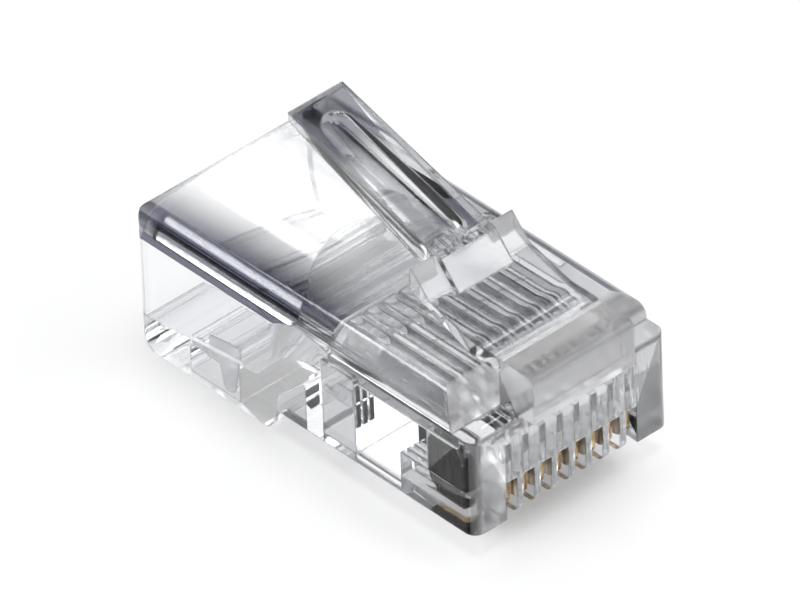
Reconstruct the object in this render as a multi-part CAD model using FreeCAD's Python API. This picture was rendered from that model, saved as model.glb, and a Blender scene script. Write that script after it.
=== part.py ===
"""Modular plug with eight contacts: clear moulded housing, sprung latch, anchors and contact blades.

Everything is first drawn from the nose datum: X is the width, Y runs from the front face (Y 0)
to the cable end, and Z is zero on the underside of the nose. place() then moves each piece so
that the origin is under the middle of the whole plug, level with its lowest face.
"""
import FreeCAD, Part
import math
import os

V = FreeCAD.Vector

# Housing, outside
body_width = 11.68
body_length = 21.95
nose_height = 6.5
nose_deck_height = 5.1
nose_deck_length = 1.3
land_level_length = 1.0
top_fall = 0.05
rear_drop = 1.4
step_start = 12.75
step_end = 13.5
step_top_radius = 0.2
step_foot_radius = 0.8
front_lip_radius = 0.25
rear_lip_radius = 0.3
rear_heel_radius = 1.5
top_edge_radius = 1.1
bottom_edge_radius = 0.2
front_corner_radius = 0.6
rear_corner_radius = 0.4

# Contact slots, ribs and wire channels
contact_count = 8
contact_pitch = 1.02
slot_mouth_width = 0.66
slot_mouth_height = 1.3
slot_front_height = 2.0
slot_length = 5.6
rib_nose_radius = 0.45
channel_width = 0.82
channel_height = 0.85
channel_floor = 3.5
channel_corner_radius = 0.22
channel_front_radius = 0.4
channel_front = 1.65
channel_rear = 10.0

# Cable cavity
side_wall = 0.84
roof_wall = 0.85
roof_arch_radius = 15.0
roof_arch_angle = 16.3
roof_corner_radius = 0.6
floor_rise_rear = 0.05
floor_rise_front = 1.0
floor_end = 14.45
floor_end_radius = 0.3
ramp_shoulder_y = 12.75
ramp_shoulder_height = 2.9
ramp_radius = 2.6
throat_height = 4.45
throat_roof_radius = 0.2
roof_slope_end = 14.6
throat_margin = 0.25
throat_lead = 0.4
throat_lead_radius = 1.5
throat_length = 3.2
throat_flare_radius = 2.0

# Windows through the underside
window_wall = 1.1
wire_window_start = 8.14
wire_window_end = 10.3
core_pocket_start = 11.4
core_pocket_end = 13.3
core_pocket_height = 2.1
core_pocket_rear_height = 0.4
jacket_window_start = 15.8
jacket_window_end = 19.1
wire_window_corner_radius = 0.3
core_pocket_corner_radius = 0.15

# Latch
root_width = 6.02
root_overhang = 1.02
root_underside = 5.3
root_length = 1.2
root_nose_radius = 0.5
root_foot_radius = 0.35
root_foot_start = 0.3
root_sink = 0.3
arm_top = 7.8
arm_thickness = 0.8
hinge_y = 1.5
hinge_gap = 0.04
arm_bend = 3.0
arm_bend_radius = 1.5
arm_rise = 8.5
ramp_foot = 5.62
shoulder_y = 6.85
shoulder_height = 9.68
shoulder_depth = 1.25
shoulder_crest = 0.12
lever_width = 3.25
lever_ramp_lead = 0.34
lever_start = 6.25
lever_tip = 16.3
lever_tip_height = 12.53
lever_tip_thickness = 0.5
lever_corner_radius = 0.25
scoop_radius = 1.8
scoop_start = 1.6
scoop_start_depth = 0.5
scoop_end = 8.3
scoop_end_depth = 0.22

# Anchors
anchor_side_gap = 0.1
anchor_edge_radius = 0.15
anchor_hinge_radius = 0.22
anchor_hinge_gap = 0.04
jacket_anchor_web = 0.36
jacket_anchor_hinge_height = 0.2
jacket_bar_start = 16.0
jacket_bar_end = 18.1
jacket_bar_bottom = -0.05
jacket_bar_front_top = 1.35
jacket_bar_rear_top = 1.05
jacket_tongue_thickness = 1.25
jacket_tongue_tip_radius = 0.44
jacket_tongue_bottom = -1.3
wire_anchor_hinge_height = 2.5
wire_anchor_web = 0.3
wire_anchor_start = 8.35
wire_anchor_thickness = 1.15
wire_anchor_top = 3.25
wire_anchor_bottom = 2.25
window_roof = 4.05

# Contact blades
blade_thickness = 0.36
blade_gap = 0.01
blade_front = 0.35
blade_length = 3.5
blade_bottom = 0.4
blade_shoulder = 2.7
blade_tip = 3.62
blade_crown_radius = 0.45
blade_heel = 0.5
prong_count = 3
prong_gap = 0.45
prong_tip_width = 0.12

far = 40.0


def rounded_wire(points, plane):
    """Closed wire through (u, v, radius) corners; plane turns (u, v) into a point in space."""
    corners = []
    count = len(points)
    for i, (u, v, radius) in enumerate(points):
        before = points[i - 1]
        after = points[(i + 1) % count]
        here = V(u, v, 0)
        back = (V(before[0], before[1], 0) - here).normalize()
        ahead = (V(after[0], after[1], 0) - here).normalize()
        if radius == 0:
            corners.append((here, None, here))
            continue
        half = back.getAngle(ahead) / 2
        run = radius / math.tan(half)
        middle = here + (back + ahead).normalize() * (radius / math.sin(half) - radius)
        corners.append((here + back * run, middle, here + ahead * run))
    edges = []
    for i, (start, middle, end) in enumerate(corners):
        if middle is not None:
            edges.append(Part.Arc(plane(start), plane(middle), plane(end)).toShape())
        following = corners[(i + 1) % count][0]
        if (following - end).Length > 1e-6:
            edges.append(Part.LineSegment(plane(end), plane(following)).toShape())
    return Part.Wire(edges)


def side_prism(points, width, middle=0.0):
    """Side outline in (Y, Z), as wide as given along X."""
    wire = rounded_wire(points, lambda p: V(middle - width / 2, p.x, p.y))
    return Part.Face(wire).extrude(V(width, 0, 0))


def end_prism(points, start, end):
    """End outline in (X, Z), from start to end along Y."""
    wire = rounded_wire(points, lambda p: V(p.x, start, p.y))
    return Part.Face(wire).extrude(V(0, end - start, 0))


def plan_prism(points, bottom, top):
    """Plan outline in (X, Y), from bottom to top along Z."""
    wire = rounded_wire(points, lambda p: V(p.x, p.y, bottom))
    return Part.Face(wire).extrude(V(0, 0, top - bottom))


def box(x0, x1, y0, y1, z0, z1):
    return Part.makeBox(x1 - x0, y1 - y0, z1 - z0, V(x0, y0, z0))


def cross_rod(y, z, radius, width):
    """Round bar along X."""
    return Part.makeCylinder(radius, width, V(-width / 2, y, z), V(1, 0, 0))


def contact_positions():
    return [i * contact_pitch - row_width() / 2 for i in range(contact_count)]


def outer_form():
    """Side outline, end outline and plan outline, intersected."""
    land_radius = nose_height - nose_deck_height
    side = side_prism([
        (0, 0, 0),
        (step_start, 0, step_top_radius),
        (step_end, -rear_drop, step_foot_radius),
        (body_length, -rear_drop, rear_heel_radius),
        (body_length, nose_height - top_fall, rear_lip_radius),
        (nose_deck_length + land_radius + land_level_length, nose_height, 0),
        (nose_deck_length, nose_height, land_radius),
        (nose_deck_length, nose_deck_height, 0),
        (0, nose_deck_height, front_lip_radius),
    ], body_width)
    half = body_width / 2
    end = end_prism([
        (-half, -rear_drop, bottom_edge_radius),
        (half, -rear_drop, bottom_edge_radius),
        (half, nose_height, top_edge_radius),
        (-half, nose_height, top_edge_radius),
    ], -1, body_length + 1)
    plan = plan_prism([
        (-half, 0, front_corner_radius),
        (half, 0, front_corner_radius),
        (half, body_length, rear_corner_radius),
        (-half, body_length, rear_corner_radius),
    ], -rear_drop - 1, nose_height + 1)
    return side.common(end).common(plan)


def row_width():
    """From the middle of the first contact to the middle of the last."""
    return (contact_count - 1) * contact_pitch


def window_width():
    return body_width - 2 * window_wall


def cable_cavity():
    """Room for the cable jacket under an arched roof, with a ramp and a throat up to the wire channels."""
    roof = nose_height - roof_wall
    side = side_prism([
        (body_length + 1, floor_rise_rear, 0),
        (floor_end, floor_rise_front, floor_end_radius),
        (ramp_shoulder_y, ramp_shoulder_height, ramp_radius),
        (channel_rear, channel_floor, 0),
        (channel_rear, throat_height, throat_roof_radius),
        (roof_slope_end, roof, 0),
        (body_length + 1, roof, 0),
    ], body_width)
    half = body_width / 2 - side_wall
    slope = math.radians(roof_arch_angle)
    peak = roof + roof_arch_radius * (1 / math.cos(slope) - 1)
    spring = peak - half * math.tan(slope)
    end = end_prism([
        (-half, -1, 0),
        (half, -1, 0),
        (half, spring, roof_corner_radius),
        (0, peak, roof_arch_radius),
        (-half, spring, roof_corner_radius),
    ], channel_rear - 0.5, body_length + 1)
    throat_half = (row_width() + channel_width) / 2 + throat_margin
    plan = plan_prism([
        (-throat_half, channel_rear - 1, 0),
        (throat_half, channel_rear - 1, 0),
        (throat_half, channel_rear + throat_lead, throat_lead_radius),
        (half, channel_rear + throat_length, throat_flare_radius),
        (half, body_length + 2, 0),
        (-half, body_length + 2, 0),
        (-half, channel_rear + throat_length, throat_flare_radius),
        (-throat_half, channel_rear + throat_lead, throat_lead_radius),
    ], -1, nose_height)
    return side.common(end).common(plan)


def wire_channel(x):
    """Blind channel with rounded corners and a rounded front end, open into the throat."""
    half = channel_width / 2
    roof = channel_floor + channel_height
    side = side_prism([
        (channel_front, channel_floor, channel_front_radius),
        (channel_rear + 0.5, channel_floor, 0),
        (channel_rear + 0.5, roof, 0),
        (channel_front, roof, channel_front_radius),
    ], channel_width, x)
    end = end_prism([
        (x - half, channel_floor, channel_corner_radius),
        (x + half, channel_floor, channel_corner_radius),
        (x + half, roof, channel_corner_radius),
        (x - half, roof, channel_corner_radius),
    ], channel_front - 1, channel_rear + 1)
    return side.common(end)


def contact_slot(x):
    """Slot for one blade: wide at its mouth, open through the front, and a close fit on the blade above."""
    mouth = side_prism([
        (-1, -1, 0),
        (slot_length, -1, 0),
        (slot_length, slot_mouth_height, 0),
        (blade_front + blade_crown_radius, slot_mouth_height, 0),
        (blade_front, slot_front_height, 0),
        (-1, slot_front_height, 0),
    ], slot_mouth_width, x)
    grip = blade_thickness / 2 + blade_gap
    upper = box(x - grip, x + grip, blade_front - blade_gap, blade_front + blade_length + blade_gap,
                -1, channel_floor + channel_height / 2)
    return mouth.fuse(upper)


def rib_rounding():
    """What is cut from the front lower edge of the ribs, between the end blocks."""
    width = row_width() + slot_mouth_width
    r = rib_nose_radius
    corner = box(-width / 2, width / 2, -1, r, -1, r)
    return corner.cut(cross_rod(r, r, r, width + 1))


def underside_windows():
    wires = side_prism([
        (wire_window_start, -1, 0),
        (wire_window_end, -1, 0),
        (wire_window_end, window_roof, 0),
        (wire_window_start, window_roof, wire_window_corner_radius),
    ], window_width())
    core = side_prism([
        (core_pocket_start, -1, 0),
        (core_pocket_end, -1, 0),
        (core_pocket_end, core_pocket_rear_height, core_pocket_corner_radius),
        (core_pocket_start, core_pocket_height, core_pocket_corner_radius),
    ], window_width())
    half = window_width() / 2
    jacket = box(-half, half, jacket_window_start, jacket_window_end, -rear_drop - 1, ramp_shoulder_height)
    return [wires, core, jacket]


def hinge_height():
    return arm_top - arm_thickness / 2


def latch_root():
    """Block on the nose deck that carries the latch, with a hollow for the arm's round end."""
    block = side_prism([
        (-root_overhang, root_underside, 0.12),
        (0.05, root_underside - 0.05, 0),
        (0.05, nose_deck_height - root_sink, 0),
        (root_length, nose_deck_height - root_sink, 0),
        (root_length, arm_top, 0.06),
        (-root_overhang, arm_top, root_nose_radius),
    ], root_width)
    hollow = cross_rod(hinge_y, hinge_height(), arm_thickness / 2 + hinge_gap, root_width + 1)
    return block.cut(hollow)


def root_foot():
    """Concave fillets between the sides of the root block and the nose deck."""
    r = root_foot_radius
    deck = nose_deck_height
    feet = []
    for side in (-1, 1):
        x = side * root_width / 2
        piece = box(min(x, x + side * r), max(x, x + side * r), root_foot_start, root_length - 0.02,
                    deck - root_sink / 2, deck + r)
        round_bar = Part.makeCylinder(r, root_length + 2, V(x + side * r, -1, deck + r), V(0, 1, 0))
        feet.append(piece.cut(round_bar))
    return feet


def housing():
    body = outer_form()
    body = body.cut(cable_cavity())
    body = body.cut(underside_windows())
    body = body.cut([wire_channel(x) for x in contact_positions()])
    body = body.cut([contact_slot(x) for x in contact_positions()])
    body = body.cut(rib_rounding())
    body = body.fuse([latch_root()] + root_foot())
    return body.removeSplitter()


def lever_scoop(start, end):
    """Long hollow in the lever's underside, which runs from start to end, with spherical ends.

    scoop_start and scoop_end are the places of its deepest points, along the underside from start.
    """
    run = (end - start).normalize()
    below = V(0, run.z, -run.y)
    first = start + run * scoop_start + below * (scoop_radius - scoop_start_depth)
    last = start + run * scoop_end + below * (scoop_radius - scoop_end_depth)
    bar = Part.makeCylinder(scoop_radius, (last - first).Length, first, last - first)
    ends = [Part.makeSphere(scoop_radius, first), Part.makeSphere(scoop_radius, last)]
    return bar.fuse(ends)


def latch():
    """Round end, flat arm, two ramped shoulders and the tapering finger lever in one piece."""
    z_hinge = hinge_height()
    under = arm_top - arm_thickness
    shoulder_foot = shoulder_height - shoulder_depth
    arm = side_prism([
        (hinge_y, under, 0),
        (arm_bend, under, arm_bend_radius),
        (shoulder_y + 0.05, shoulder_foot, 0),
        (shoulder_y, shoulder_height, 0.1),
        (shoulder_y - shoulder_crest, shoulder_height, 0.05),
        (ramp_foot, arm_rise, 0.3),
        (arm_bend, arm_top, arm_bend_radius),
        (hinge_y, arm_top, 0),
    ], root_width)
    end = cross_rod(hinge_y, z_hinge, arm_thickness / 2, root_width)
    lever_slope = (lever_tip_height - shoulder_height) / (lever_tip - lever_start)
    under_start = V(0, shoulder_y + 0.05, shoulder_foot)
    under_end = V(0, lever_tip - 0.15, lever_tip_height - lever_tip_thickness)
    lever = side_prism([
        (ramp_foot - lever_ramp_lead, arm_rise - 0.3, 0),
        (under_start.y, under_start.z, 0),
        (under_end.y, under_end.z, 0.1),
        (lever_tip, lever_tip_height, 0.12),
        (lever_start, shoulder_height, 0.15),
        (ramp_foot - lever_ramp_lead - 0.25 * lever_slope, arm_rise - 0.05, 0),
    ], lever_width)
    plan = plan_prism([
        (-lever_width / 2, 0, 0),
        (lever_width / 2, 0, 0),
        (lever_width / 2, lever_tip, lever_corner_radius),
        (-lever_width / 2, lever_tip, lever_corner_radius),
    ], 0, far)
    lever = lever.common(plan).cut(lever_scoop(under_start, under_end))
    return arm.fuse(end).fuse(lever).removeSplitter()


def jacket_anchor():
    """Bar across the jacket window, with a tongue below it, on a thin web from the window's rear edge."""
    width = window_width() - 2 * anchor_side_gap
    y_hinge = jacket_window_end - anchor_hinge_gap - anchor_hinge_radius
    tongue_end = jacket_bar_start + jacket_tongue_thickness
    tip_y = jacket_bar_start + jacket_tongue_thickness / 2
    r = jacket_tongue_tip_radius
    tip_z = jacket_tongue_bottom + r
    z = jacket_anchor_hinge_height
    half_web = jacket_anchor_web / 2
    bar = side_prism([
        (jacket_bar_start, jacket_bar_bottom, 0),
        (jacket_bar_end, jacket_bar_bottom, 0.1),
        (jacket_bar_end, jacket_bar_rear_top, anchor_edge_radius),
        (jacket_bar_start, jacket_bar_front_top, anchor_edge_radius),
    ], width)
    tongue = side_prism([
        (jacket_bar_start, jacket_bar_bottom + 0.1, 0),
        (tip_y - r, tip_z, 0),
        (tip_y + r, tip_z, 0),
        (tongue_end, jacket_bar_bottom + 0.1, 0),
    ], width)
    tip = cross_rod(tip_y, tip_z, r, width)
    web = box(-width / 2, width / 2, jacket_bar_end - 0.3, y_hinge, z - half_web, z + half_web)
    hinge = cross_rod(y_hinge, z, anchor_hinge_radius, width)
    return bar.fuse([tongue, tip, web, hinge]).removeSplitter()


def wire_anchor():
    """Bar under the wire channels that hangs on a thin web from the wire window's rear edge."""
    width = window_width() - 2 * anchor_side_gap
    y_hinge = wire_window_end - anchor_hinge_gap - anchor_hinge_radius
    bar_end = wire_anchor_start + wire_anchor_thickness
    z = wire_anchor_hinge_height
    half_web = wire_anchor_web / 2
    bar = side_prism([
        (wire_anchor_start, wire_anchor_bottom, 0.25),
        (bar_end, wire_anchor_bottom, 0.1),
        (bar_end, wire_anchor_top, 0.3),
        (wire_anchor_start, wire_anchor_top, anchor_edge_radius),
    ], width)
    web = box(-width / 2, width / 2, bar_end - 0.3, y_hinge, z - half_web, z + half_web)
    return bar.fuse(web).fuse(cross_rod(y_hinge, z, anchor_hinge_radius, width)).removeSplitter()


def contact(x):
    """Stamped blade: round crown at the front, pointed prongs on top."""
    rear = blade_front + blade_length
    points = [
        (blade_front, blade_bottom, blade_crown_radius),
        (rear - blade_heel, blade_bottom, 0.1),
        (rear, blade_bottom + blade_heel, 0.1),
    ]
    prong_width = (blade_length - prong_gap * (prong_count - 1)) / prong_count
    for i in range(prong_count):
        right = rear - i * (prong_width + prong_gap)
        left = right - prong_width
        centre = (left + right) / 2
        points.append((right, blade_shoulder + 0.25, 0))
        points.append((centre + prong_tip_width / 2, blade_tip, 0))
        points.append((centre - prong_tip_width / 2, blade_tip, 0))
        points.append((left, blade_shoulder + 0.25, 0))
        if i < prong_count - 1:
            points.append((left, blade_shoulder, 0.1))
            points.append((left - prong_gap, blade_shoulder, 0.1))
    return side_prism(points, blade_thickness, x)


def place(shape):
    """From the nose datum to the middle of the plug's box, level with its lowest face."""
    moved = shape.copy()
    moved.translate(V(0, -(body_length - root_overhang) / 2, rear_drop))
    return moved


def build():
    pieces = {
        "housing": housing(),
        "latch": latch(),
        "jacket_anchor": jacket_anchor(),
        "wire_anchor": wire_anchor(),
    }
    for i, x in enumerate(contact_positions(), start=1):
        pieces[f"contact_{i}"] = contact(x)
    return {name: place(shape) for name, shape in pieces.items()}


os.makedirs("parts", exist_ok=True)
for name, shape in build().items():
    box_size = shape.BoundBox
    print(name, shape.isValid(), len(shape.Solids), round(shape.Volume, 2),
          [round(v, 3) for v in (box_size.XMin, box_size.XMax, box_size.YMin, box_size.YMax,
                                 box_size.ZMin, box_size.ZMax)])
    shape.exportStep(os.path.join("parts", name + ".step"))
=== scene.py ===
import math

import bpy
from mathutils import Matrix, Vector


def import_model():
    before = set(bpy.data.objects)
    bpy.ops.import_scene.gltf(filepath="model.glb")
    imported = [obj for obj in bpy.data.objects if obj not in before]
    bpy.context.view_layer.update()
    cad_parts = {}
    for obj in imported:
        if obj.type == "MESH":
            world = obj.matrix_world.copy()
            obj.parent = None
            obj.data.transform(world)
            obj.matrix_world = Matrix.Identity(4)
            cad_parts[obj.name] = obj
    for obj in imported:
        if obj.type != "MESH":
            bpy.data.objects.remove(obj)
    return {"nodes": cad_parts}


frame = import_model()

MM = 0.001
scene = bpy.context.scene
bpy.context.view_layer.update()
shown = dict(frame["nodes"])

# The nose datum of the CAD model, in millimetres: Y 0 is the front face of the body and Z 0 is
# the underside of the nose.
BODY_LENGTH = 21.95
ROOT_OVERHANG = 1.02
NOSE_Y = -(BODY_LENGTH - ROOT_OVERHANG) / 2
NOSE_Z = 1.4

# Clear plastic. A colour is what stays of white light that goes in through a face and out again;
# the darker tints of the nose's end fronts, the channel walls and the top edges are painted shade.
PLASTIC_COLOUR = (0.95, 0.957, 0.968, 1)
FROST_COLOUR = (0.86, 0.86, 0.87, 1)
# Painted shade on the fronts of the nose beside the ribs.
END_SHADE_COLOUR = (0.42, 0.42, 0.43, 1)
# Painted shade on the side walls of the wire channels.
CHANNEL_SHADE_COLOUR = (0.31, 0.315, 0.33, 1)
# Painted shade on the rounded top edges.
TOP_EDGE_SHADE_COLOUR = (0.1, 0.105, 0.13, 1)
PLASTIC_IOR = 1.585
SLOT_IOR = 1.2
LAMP_SHARE = 0.66

# Noise in the roughness and in the blades' tones: features per millimetre, octaves, and the range
# in which its values stay.
CLOUD_SCALE = 0.5
CLOUD_DETAIL = 3.0
STREAK_DETAIL = 2.0
NOISE_LOW = 0.3
NOISE_HIGH = 0.7

# Rounded edges in the shading: the radius in millimetres, the colours of the painted line along an
# edge (painted shade on the clear faces and the ribs, a painted highlight on the frosted faces),
# and how far the rounded normal leans from the flat face, as a cosine, where the line is full and
# where it ends.
EDGE_ROUND = 0.15
EDGE_SAMPLES = 4
EDGE_SHADE_COLOUR = (0.07, 0.074, 0.085, 1)
FROST_EDGE_HIGHLIGHT = (1, 1, 1, 1)
RIB_EDGE_SHADE_COLOUR = (0.75, 0.75, 0.76, 1)
EDGE_FULL = 0.84
EDGE_CLEAR = 0.97

# Painted shade: darkening of the cavity's roof across X, towards both side walls, and of the
# lever's scoop along Y, towards its tip, in object millimetres.
ROOF_SHADE_COLOUR = (0.022, 0.023, 0.04, 1)
ROOF_SHADE_START = 0.4
ROOF_SHADE_END = 4.4
SCOOP_SHADE_COLOUR = (0.13, 0.135, 0.16, 1)
SCOOP_START = 11.2 + NOSE_Y
SCOOP_END = 14.0 + NOSE_Y

# Upright lines that the mould left on the ribs: features per millimetre, and depth in millimetres.
RIB_LINES = (7.0, 7.0, 0.35)
RIB_LINE_DEPTH = 0.03

# Tones of the blades, darker and lighter, the noise values that give them, and where one pair
# takes over from another, in object millimetres.
GOLD = ((0.42, 0.24, 0.09), (0.86, 0.68, 0.42))
STEEL = ((0.28, 0.28, 0.29), (0.6, 0.6, 0.6))
BRONZE = ((0.22, 0.13, 0.06), (0.85, 0.78, 0.66))
# A near-black pair: painted shade on the blades' sides deep inside the slots.
BLADE_SIDE_SHADE = ((0.004, 0.0035, 0.003), (0.03, 0.026, 0.022))
TONE_LOW = 0.35
TONE_HIGH = 0.65
GOLD_LOW = 1.5 + NOSE_Z
GOLD_HIGH = 2.3 + NOSE_Z
FRONT_LOW = 1.1 + NOSE_Y
FRONT_HIGH = 1.4 + NOSE_Y

# Limits that tell the faces of the mould apart: millimetres from the nose datum for a face's
# centre, and shares of its normal along an axis.
SQUARE_ON = 0.9
NOSE_FRONT = 0.5
NOSE_DECK = 5.2
RIBS_RIGHT = 4.2
ROOT_REAR = 1.25
LAND_FRONT_REAR = 2.75
LAND_FOOT = 5.15
LAND_LEAN = 0.05
REAR_FACE = 21.9
RAMP_FRONT = 4.5
RAMP_LEAN = 0.5
ROOF_FRONT = 10.2
ROOF_LOW = 4.3
ROOF_HIGH = 5.8
ROOF_HALF = 5.05
ROOF_LEAN = 0.2
SCOOP_FRONT = 7.8
SCOOP_HALF = 1.25
SCOOP_LEAN = 0.3
RIB_LEAN = 0.3
RIB_LEFT = -4.0
RIB_RIGHT = 4.3
END_LEAN = 0.5
CHANNEL_FRONT = 2.8
CHANNEL_REAR = 10.0
CHANNEL_LOW = 1.8
CHANNEL_HIGH = 5.0
CHANNEL_HALF = 4.3
CHANNEL_LEAN = 0.6
TOP_EDGE_INNER = 4.4
TOP_EDGE_LOW = 4.5
TOP_EDGE_LEAN = 0.12
LEFT_EDGE_FRONT = 10
LEFT_EDGE_LEAN = 0.75
SLOT_REAR = 2.6
SLOT_HIGH = 6.0
SLOT_HALF = 4.6
WALL_INNER = 5.3

# Each softbox of the room: azimuth from the front, elevation, inner and outer radius in degrees,
# and level.
ROOM_LEVEL = 0.03
ROOM_COLOUR = (0.97, 0.98, 1.0, 1)
ROOM_PATCHES = [
    (41, 37.5, 12, 28, 1.6),
    (146, 20, 6, 18, 1.6),
    (0, 52, 12, 34, 0.5),
    (-97, 29, 10, 30, 0.6),
    (168, 53, 3, 7, 9.0),
]
LAMP_PLACE = (0.0, 0.0, 0.4)
LAMP_SIZE = 0.3
LAMP_POWER = 1.45
CARD_CORNER = (0.2450, 0.2895, 0.3)
CARD_TURN = 20
CARD_SIZE = (0.10, 0.10)
CARD_FADE = (0.008, 0.005)
CARD_GLOW = 5.0
FLOOR_RADIUS = 0.4
FLOOR_SIDES = 96
FLOOR_COLOUR = (0.9, 0.9, 0.9, 1)
FLOOR_GLOW = 0.15

CAMERA_AZIMUTH = math.radians(-41.0)
CAMERA_ELEVATION = math.radians(37.6)
CAMERA_ROLL = math.radians(-2.4)
CAMERA_DISTANCE = 0.7813
CAMERA_SENSOR = 36
CAMERA_LENS = 797.4
CAMERA_CLIP = (0.01, 10)
CAMERA_TARGET = (0.0, 11.025, 3.997)

# Light crosses many clear walls here, so it may bounce more often than by default.
MAX_BOUNCES = 20
GLOSSY_BOUNCES = 12
TRANSMISSION_BOUNCES = 16
TRANSPARENT_BOUNCES = 24


def nose(x, y, z):
    """A point given in millimetres from the nose datum."""
    return Vector((x, y + NOSE_Y, z + NOSE_Z)) * MM


def towards(azimuth, elevation):
    """The unit vector at an azimuth, in radians from the front, and an elevation."""
    level = math.cos(elevation)
    return Vector((math.sin(azimuth) * level, -math.cos(azimuth) * level, math.sin(elevation)))


def shader(name):
    """A new material with its principled shader."""
    material = bpy.data.materials.new(name)
    material.use_nodes = True
    return material, material.node_tree, material.node_tree.nodes["Principled BSDF"]


def bare(name):
    """A new material without nodes."""
    material = bpy.data.materials.new(name)
    material.use_nodes = True
    material.node_tree.nodes.clear()
    return material, material.node_tree


def add(tree, kind, **values):
    """A new node with some of its properties set."""
    node = tree.nodes.new(kind)
    for name, value in values.items():
        setattr(node, name, value)
    return node


def worked(tree, operation, first, second):
    """A sum or product of a socket with another socket or a number."""
    node = add(tree, "ShaderNodeMath", operation=operation)
    tree.links.new(first, node.inputs[0])
    if isinstance(second, float):
        node.inputs[1].default_value = second
    else:
        tree.links.new(second, node.inputs[1])
    return node.outputs[0]


def clouds(tree):
    """Soft noise that is fixed to the mesh."""
    place = add(tree, "ShaderNodeTexCoord")
    node = add(tree, "ShaderNodeTexNoise")
    node.inputs["Scale"].default_value = CLOUD_SCALE / MM
    node.inputs["Detail"].default_value = CLOUD_DETAIL
    tree.links.new(place.outputs["Object"], node.inputs["Vector"])
    return node.outputs["Fac"]


def streaks(tree, scales):
    """Noise drawn out along some axes: its scales along X, Y and Z in features per millimetre."""
    place = add(tree, "ShaderNodeTexCoord")
    stretch = add(tree, "ShaderNodeMapping")
    stretch.inputs["Scale"].default_value = [s / MM for s in scales]
    node = add(tree, "ShaderNodeTexNoise")
    node.inputs["Scale"].default_value = 1.0
    node.inputs["Detail"].default_value = STREAK_DETAIL
    tree.links.new(place.outputs["Object"], stretch.inputs["Vector"])
    tree.links.new(stretch.outputs["Vector"], node.inputs["Vector"])
    return node.outputs["Fac"]


def spread(tree, source, low, high):
    """A noise, which stays near 0.5, spread from low to high."""
    node = add(tree, "ShaderNodeMapRange")
    node.inputs["From Min"].default_value = NOISE_LOW
    node.inputs["From Max"].default_value = NOISE_HIGH
    node.inputs["To Min"].default_value = low
    node.inputs["To Max"].default_value = high
    tree.links.new(source, node.inputs["Value"])
    return node.outputs["Result"]


def rise(tree, axis, low, high, mirrored=False):
    """From 0 at the low place on an axis to 1 at the high one, both in millimetres, and alike on
    both sides of 0 if mirrored."""
    place = add(tree, "ShaderNodeTexCoord")
    split = add(tree, "ShaderNodeSeparateXYZ")
    tree.links.new(place.outputs["Object"], split.inputs["Vector"])
    source = split.outputs[axis]
    if mirrored:
        distance = add(tree, "ShaderNodeMath", operation="ABSOLUTE")
        tree.links.new(source, distance.inputs[0])
        source = distance.outputs[0]
    across = add(tree, "ShaderNodeMapRange", interpolation_type="SMOOTHSTEP")
    across.inputs["From Min"].default_value = low * MM
    across.inputs["From Max"].default_value = high * MM
    tree.links.new(source, across.inputs["Value"])
    return across.outputs["Result"]


def outlined(tree, soft_normal, colour, edge):
    """The colour, and another one along the edges: a painted line of shade or highlight where the
    rounded plastic bends the light.
    """
    flat = add(tree, "ShaderNodeNewGeometry")
    lean = add(tree, "ShaderNodeVectorMath", operation="DOT_PRODUCT")
    tree.links.new(soft_normal, lean.inputs[0])
    tree.links.new(flat.outputs["True Normal"], lean.inputs[1])
    size = add(tree, "ShaderNodeMath", operation="ABSOLUTE")
    tree.links.new(lean.outputs["Value"], size.inputs[0])
    line = add(tree, "ShaderNodeMapRange")
    line.inputs["From Min"].default_value = EDGE_FULL
    line.inputs["From Max"].default_value = EDGE_CLEAR
    line.inputs["To Min"].default_value = 1.0
    line.inputs["To Max"].default_value = 0.0
    tree.links.new(size.outputs[0], line.inputs["Value"])
    mix = add(tree, "ShaderNodeMix", data_type="RGBA")
    mix.inputs["A"].default_value = colour
    mix.inputs["B"].default_value = edge
    tree.links.new(line.outputs["Result"], mix.inputs["Factor"])
    return mix.outputs["Result"]


def painted_shade_ramp(tree, axis, start, end, colour):
    """The plastic's colour, darkened between two distances from 0 along an axis: painted shade."""
    ramp = add(tree, "ShaderNodeValToRGB")
    ramp.color_ramp.elements[0].color = PLASTIC_COLOUR
    ramp.color_ramp.elements[1].color = colour
    tree.links.new(rise(tree, axis, start, end, mirrored=True), ramp.inputs["Fac"])
    return ramp.outputs["Color"]


def pass_lamps(tree, bsdf):
    """Lets the lamps' light through to the floor and to the blades behind the clear walls."""
    rays = add(tree, "ShaderNodeLightPath")
    through = add(tree, "ShaderNodeBsdfTransparent")
    through.inputs["Color"].default_value = (LAMP_SHARE, LAMP_SHARE, LAMP_SHARE, 1)
    mix = add(tree, "ShaderNodeMixShader")
    tree.links.new(rays.outputs["Is Shadow Ray"], mix.inputs["Fac"])
    tree.links.new(bsdf.outputs[0], mix.inputs[1])
    tree.links.new(through.outputs[0], mix.inputs[2])
    tree.links.new(mix.outputs[0], tree.nodes["Material Output"].inputs["Surface"])


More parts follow.
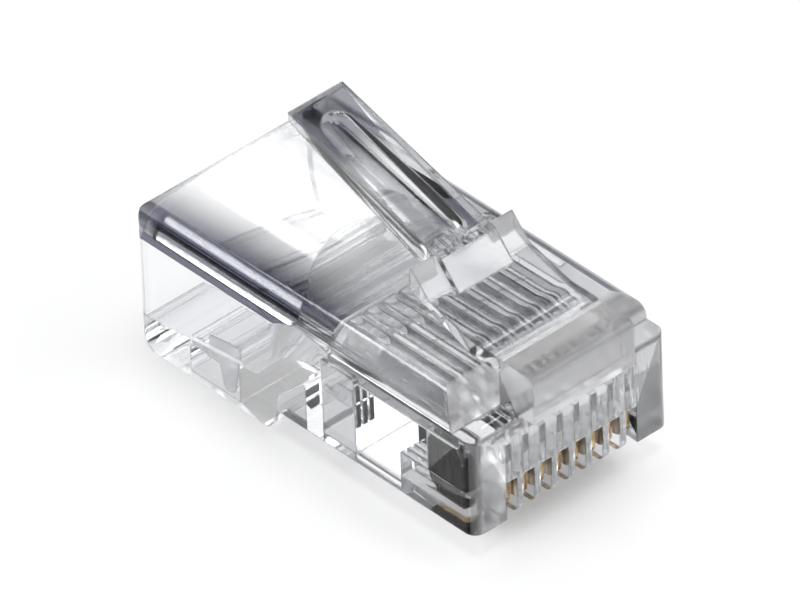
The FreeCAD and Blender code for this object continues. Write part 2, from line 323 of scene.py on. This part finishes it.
def plastic(name, roughness, swing, milk=0.0, gloss=1.0, ior=PLASTIC_IOR, colour=PLASTIC_COLOUR,
            edge=EDGE_SHADE_COLOUR, painted_shade=None):
    """Clear moulded plastic: roughness with its variation, the share of light that it scatters
    white, the strength of its reflections, its colours with a painted line of shade or highlight
    along the edges, and a painted shade gradient in place of the two."""
    material, tree, bsdf = shader(name)
    bsdf.inputs["Transmission Weight"].default_value = 1.0 - milk
    bsdf.inputs["IOR"].default_value = ior
    bsdf.inputs["Specular Tint"].default_value = (gloss, gloss, gloss, 1)
    soften = add(tree, "ShaderNodeBevel", samples=EDGE_SAMPLES)
    soften.inputs["Radius"].default_value = EDGE_ROUND * MM
    soft_normal = soften.outputs["Normal"]
    tree.links.new(soft_normal, bsdf.inputs["Normal"])
    colour_with_painted_light = painted_shade_ramp(tree, *painted_shade) if painted_shade else outlined(tree, soft_normal, colour, edge)
    tree.links.new(colour_with_painted_light, bsdf.inputs["Base Color"])
    tree.links.new(spread(tree, clouds(tree), roughness - swing, roughness + swing),
                   bsdf.inputs["Roughness"])
    pass_lamps(tree, bsdf)
    return material


def drawn(material, scales, depth):
    """The material with fine lines raised on it."""
    tree = material.node_tree
    bsdf = tree.nodes["Principled BSDF"]
    relief = add(tree, "ShaderNodeBump")
    relief.inputs["Distance"].default_value = depth * MM
    tree.links.new(bsdf.inputs["Normal"].links[0].from_socket, relief.inputs["Normal"])
    tree.links.new(streaks(tree, scales), relief.inputs["Height"])
    tree.links.new(relief.outputs["Normal"], bsdf.inputs["Normal"])
    return material


def tones(tree, source, dark, light):
    """The two colours, mixed by a noise that stays near 0.5."""
    ramp = add(tree, "ShaderNodeValToRGB")
    ramp.color_ramp.elements[0].position = TONE_LOW
    ramp.color_ramp.elements[0].color = (*dark, 1)
    ramp.color_ramp.elements[1].position = TONE_HIGH
    ramp.color_ramp.elements[1].color = (*light, 1)
    tree.links.new(source, ramp.inputs["Fac"])
    return ramp.outputs["Color"]


def metal(name, grain_scales, roughness, near, far, place):
    """Plated blade: one pair of tones before a place on an axis and another pair behind it."""
    material, tree, bsdf = shader(name)
    bsdf.inputs["Metallic"].default_value = 1.0
    grain = streaks(tree, grain_scales)
    mix = add(tree, "ShaderNodeMix", data_type="RGBA")
    tree.links.new(rise(tree, *place), mix.inputs["Factor"])
    tree.links.new(tones(tree, grain, *near), mix.inputs["A"])
    tree.links.new(tones(tree, grain, *far), mix.inputs["B"])
    tree.links.new(mix.outputs["Result"], bsdf.inputs["Base Color"])
    tree.links.new(spread(tree, grain, *roughness), bsdf.inputs["Roughness"])
    return material


# Each clear material has a painted line along its edges, dark painted shade by default; the roof
# and the scoop have none.
POLISHED = plastic("clear_polished", roughness=0.02, swing=0.01)
# The frosted faces get a painted highlight along their edges.
FROSTED = plastic("clear_frosted", roughness=0.22, swing=0.06, milk=0.14, colour=FROST_COLOUR,
                  edge=FROST_EDGE_HIGHLIGHT)
# The nose's end fronts are tinted grey: painted shade.
END = plastic("clear_end_painted_shade", roughness=0.16, swing=0.05, milk=0.1, colour=END_SHADE_COLOUR)
# The roof darkens towards both side walls, and the scoop towards the lever's tip: painted shade.
CEILING = plastic("clear_ceiling_painted_shade", roughness=0.02, swing=0.01,
                  painted_shade=("X", ROOF_SHADE_START, ROOF_SHADE_END, ROOF_SHADE_COLOUR))
SCOOP = plastic("clear_scoop_painted_shade", roughness=0.1, swing=0.05,
                painted_shade=("Y", SCOOP_START, SCOOP_END, SCOOP_SHADE_COLOUR))
SLOT = plastic("clear_slot", roughness=0.02, swing=0.01, gloss=0.0, ior=SLOT_IOR)
WALL = plastic("clear_wall", roughness=0.02, swing=0.01, gloss=0.0)
# The channel walls are tinted dark: painted shade.
CHANNEL = plastic("clear_channel_painted_shade", roughness=0.05, swing=0.02, colour=CHANNEL_SHADE_COLOUR)
# The rounded top edges are tinted near black: painted shade.
TOP_EDGE = plastic("clear_top_edge_painted_shade", roughness=0.03, swing=0.01, colour=TOP_EDGE_SHADE_COLOUR)
# The ribs get a paler painted shade along their edges.
RIB = drawn(plastic("clear_rib", roughness=0.08, swing=0.03, milk=0.1, edge=RIB_EDGE_SHADE_COLOUR),
            RIB_LINES, RIB_LINE_DEPTH)
BLADE_EDGE = metal("blade_edge", grain_scales=(6, 6, 2), roughness=(0.15, 0.3), near=GOLD,
                   far=STEEL, place=("Z", GOLD_LOW, GOLD_HIGH))
# The blades' sides are bronze at the slots' mouths and painted near-black shade behind them.
BLADE_SIDE = metal("blade_side", grain_scales=(1, 4.5, 0.5), roughness=(0.2, 0.4), near=BRONZE,
                   far=BLADE_SIDE_SHADE, place=("Y", FRONT_LOW, FRONT_HIGH))


def frosted_face(node, x, y, z, normal):
    """Whether a face belongs to a textured side of the mould."""
    if node == "latch":
        ramp = normal.y < -RAMP_LEAN and y > RAMP_FRONT
        return ramp or normal.y > SQUARE_ON
    if node in ("jacket_anchor", "wire_anchor"):
        return abs(normal.x) > SQUARE_ON
    root = y < ROOT_REAR and z > NOSE_DECK
    land_front = y < LAND_FRONT_REAR and z > LAND_FOOT and normal.y < -LAND_LEAN
    rear = y > REAR_FACE and normal.y > SQUARE_ON
    nose_front = y < NOSE_FRONT and normal.y < -SQUARE_ON and x < RIBS_RIGHT
    return root or land_front or rear or nose_front


def ceiling_face(x, y, z, normal):
    """Whether a face belongs to the roof of the cable cavity."""
    return (y > ROOF_FRONT and ROOF_LOW < z < ROOF_HIGH and normal.z < -ROOF_LEAN
            and abs(x) < ROOF_HALF)


def scoop_face(x, y, z, normal):
    """Whether a face belongs to the hollow under the lever."""
    return y > SCOOP_FRONT and normal.z < -SCOOP_LEAN and abs(x) < SCOOP_HALF


def slot_face(x, y, z, normal):
    """Whether a face belongs to a side of a contact slot."""
    return (0 < y < SLOT_REAR and z < SLOT_HIGH and abs(normal.x) > SQUARE_ON
            and abs(x) < SLOT_HALF)


def wall_face(x, y, z, normal):
    """Whether a face belongs to the outside of a side wall."""
    return abs(normal.x) > SQUARE_ON and abs(x) > WALL_INNER


def rib_face(x, y, z, normal):
    """Whether a face belongs to the front of a rib between two contact slots."""
    return (y < NOSE_FRONT and normal.y < -RIB_LEAN and RIB_LEFT < x < RIB_RIGHT
            and z < NOSE_DECK)


def end_face(x, y, z, normal):
    """Whether a face belongs to the front of the nose beside the row of ribs."""
    return y < NOSE_FRONT and normal.y < -END_LEAN and abs(x) > RIBS_RIGHT and z < NOSE_DECK


def channel_face(x, y, z, normal):
    """Whether a face belongs to a side of a wire channel."""
    return (CHANNEL_FRONT < y < CHANNEL_REAR and CHANNEL_LOW < z < CHANNEL_HIGH
            and abs(normal.x) > CHANNEL_LEAN and abs(x) < CHANNEL_HALF)


def top_edge_face(x, y, z, normal):
    """Whether a face belongs to the rounded top edge on the right, or to the lower half of the
    one on the left, behind the nose."""
    right = x > TOP_EDGE_INNER and normal.x > TOP_EDGE_LEAN
    left = x < -TOP_EDGE_INNER and y > LEFT_EDGE_FRONT and normal.x < -LEFT_EDGE_LEAN
    return (right or left) and z > TOP_EDGE_LOW and normal.z > TOP_EDGE_LEAN


MOULDED = (POLISHED, FROSTED, CEILING, SCOOP, SLOT, WALL, RIB, END, CHANNEL, TOP_EDGE)
HOUSING_FACES = ((ceiling_face, CEILING), (slot_face, SLOT), (wall_face, WALL), (rib_face, RIB),
                 (end_face, END), (channel_face, CHANNEL), (top_edge_face, TOP_EDGE))
LATCH_FACES = ((scoop_face, SCOOP),)


def finish_of(node, polygon):
    """The material of a face of a moulded piece: the last one whose test it passes."""
    centre = polygon.center / MM
    point = (centre.x, centre.y - NOSE_Y, centre.z - NOSE_Z)
    material = FROSTED if frosted_face(node, *point, polygon.normal) else POLISHED
    for test, other in {"housing": HOUSING_FACES, "latch": LATCH_FACES}.get(node, ()):
        if test(*point, polygon.normal):
            material = other
    return material


def dress(node, obj):
    """Gives each face of a piece its material."""
    blade = node.startswith("contact")
    materials = (BLADE_EDGE, BLADE_SIDE) if blade else MOULDED
    obj.data.materials.clear()
    for material in materials:
        obj.data.materials.append(material)
    for polygon in obj.data.polygons:
        if blade:
            material = BLADE_SIDE if abs(polygon.normal.x) > SQUARE_ON else BLADE_EDGE
        else:
            material = finish_of(node, polygon)
        polygon.material_index = materials.index(material)


def floor():
    """A white disc that keeps the object's shadow."""
    bpy.ops.mesh.primitive_circle_add(vertices=FLOOR_SIDES, radius=FLOOR_RADIUS, fill_type="NGON")
    disc = bpy.context.object
    disc.name = "floor"
    material, tree = bare("floor_white")
    diffuse = add(tree, "ShaderNodeBsdfDiffuse")
    diffuse.inputs["Color"].default_value = FLOOR_COLOUR
    glow = add(tree, "ShaderNodeEmission")
    mix = add(tree, "ShaderNodeMixShader")
    mix.inputs["Fac"].default_value = FLOOR_GLOW
    out = add(tree, "ShaderNodeOutputMaterial")
    tree.links.new(diffuse.outputs[0], mix.inputs[1])
    tree.links.new(glow.outputs[0], mix.inputs[2])
    tree.links.new(mix.outputs[0], out.inputs["Surface"])
    disc.data.materials.append(material)


def world():
    """A dark grey room with soft round softboxes."""
    sky = bpy.data.worlds.new("studio")
    sky.use_nodes = True
    scene.world = sky
    tree = sky.node_tree
    background = tree.nodes["Background"]
    place = add(tree, "ShaderNodeTexCoord")
    levels = []
    for azimuth, elevation, inner, outer, level in ROOM_PATCHES:
        along = add(tree, "ShaderNodeVectorMath", operation="DOT_PRODUCT")
        along.inputs[1].default_value = towards(math.radians(azimuth), math.radians(elevation))
        tree.links.new(place.outputs["Generated"], along.inputs[0])
        patch = add(tree, "ShaderNodeMapRange", interpolation_type="SMOOTHSTEP")
        patch.inputs["From Min"].default_value = math.cos(math.radians(outer))
        patch.inputs["From Max"].default_value = math.cos(math.radians(inner))
        patch.inputs["To Max"].default_value = level
        tree.links.new(along.outputs["Value"], patch.inputs["Value"])
        levels.append(patch.outputs["Result"])
    total = levels[0]
    for level in (*levels[1:], ROOM_LEVEL):
        total = worked(tree, "ADD", total, level)
    background.inputs["Color"].default_value = ROOM_COLOUR
    tree.links.new(total, background.inputs["Strength"])


def lamp():
    """A square softbox above the object that faces down, as an area lamp does when it isn't turned,
    and isn't seen through the clear plastic."""
    data = bpy.data.lights.new("top_box", "AREA")
    data.shape = "RECTANGLE"
    data.size = data.size_y = LAMP_SIZE
    data.energy = LAMP_POWER
    box = bpy.data.objects.new("top_box", data)
    scene.collection.objects.link(box)
    box.location = LAMP_PLACE
    box.visible_transmission = False


def card():
    """A level softbox behind the object that the flat top mirrors; it fades towards two edges."""
    mesh = bpy.data.meshes.new("card")
    mesh.from_pydata([(0, 0, 0), (1, 0, 0), (1, 1, 0), (0, 1, 0)], [], [(0, 3, 2, 1)])
    obj = bpy.data.objects.new("card", mesh)
    scene.collection.objects.link(obj)
    obj.location = CARD_CORNER
    obj.scale = (*CARD_SIZE, 1)
    obj.rotation_euler.z = math.radians(CARD_TURN)
    material, tree = bare("card_glow")
    place = add(tree, "ShaderNodeTexCoord")
    split = add(tree, "ShaderNodeSeparateXYZ")
    tree.links.new(place.outputs["Object"], split.inputs["Vector"])
    fades = []
    for axis, width, size in zip("XY", CARD_FADE, CARD_SIZE):
        fade = add(tree, "ShaderNodeMapRange", interpolation_type="SMOOTHSTEP")
        fade.inputs["From Max"].default_value = width / size
        tree.links.new(split.outputs[axis], fade.inputs["Value"])
        fades.append(fade.outputs["Result"])
    power = worked(tree, "MULTIPLY", worked(tree, "MULTIPLY", *fades), CARD_GLOW)
    glow = add(tree, "ShaderNodeEmission")
    tree.links.new(power, glow.inputs["Strength"])
    out = add(tree, "ShaderNodeOutputMaterial")
    tree.links.new(glow.outputs[0], out.inputs["Surface"])
    mesh.materials.append(material)


def camera():
    """The camera of the photo, turned about its line of sight by the roll."""
    back = towards(CAMERA_AZIMUTH, CAMERA_ELEVATION)
    right = Vector((math.cos(CAMERA_AZIMUTH), math.sin(CAMERA_AZIMUTH), 0))
    up = back.cross(right)
    c, s = math.cos(CAMERA_ROLL), math.sin(CAMERA_ROLL)
    turned_right = right * c + up * s
    turned_up = up * c - right * s
    data = bpy.data.cameras.new("camera")
    data.sensor_width = CAMERA_SENSOR
    data.lens = CAMERA_LENS
    data.clip_start, data.clip_end = CAMERA_CLIP
    cam = bpy.data.objects.new("camera", data)
    scene.collection.objects.link(cam)
    axes = Matrix((turned_right, turned_up, back)).transposed()
    place = nose(*CAMERA_TARGET) + back * CAMERA_DISTANCE
    cam.matrix_world = Matrix.Translation(place) @ axes.to_4x4()
    scene.camera = cam


for node, obj in shown.items():
    dress(node, obj)
floor()
world()
lamp()
card()
camera()
scene.view_settings.view_transform = "Standard"
scene.cycles.max_bounces = MAX_BOUNCES
scene.cycles.glossy_bounces = GLOSSY_BOUNCES
scene.cycles.transmission_bounces = TRANSMISSION_BOUNCES
scene.cycles.transparent_max_bounces = TRANSPARENT_BOUNCES
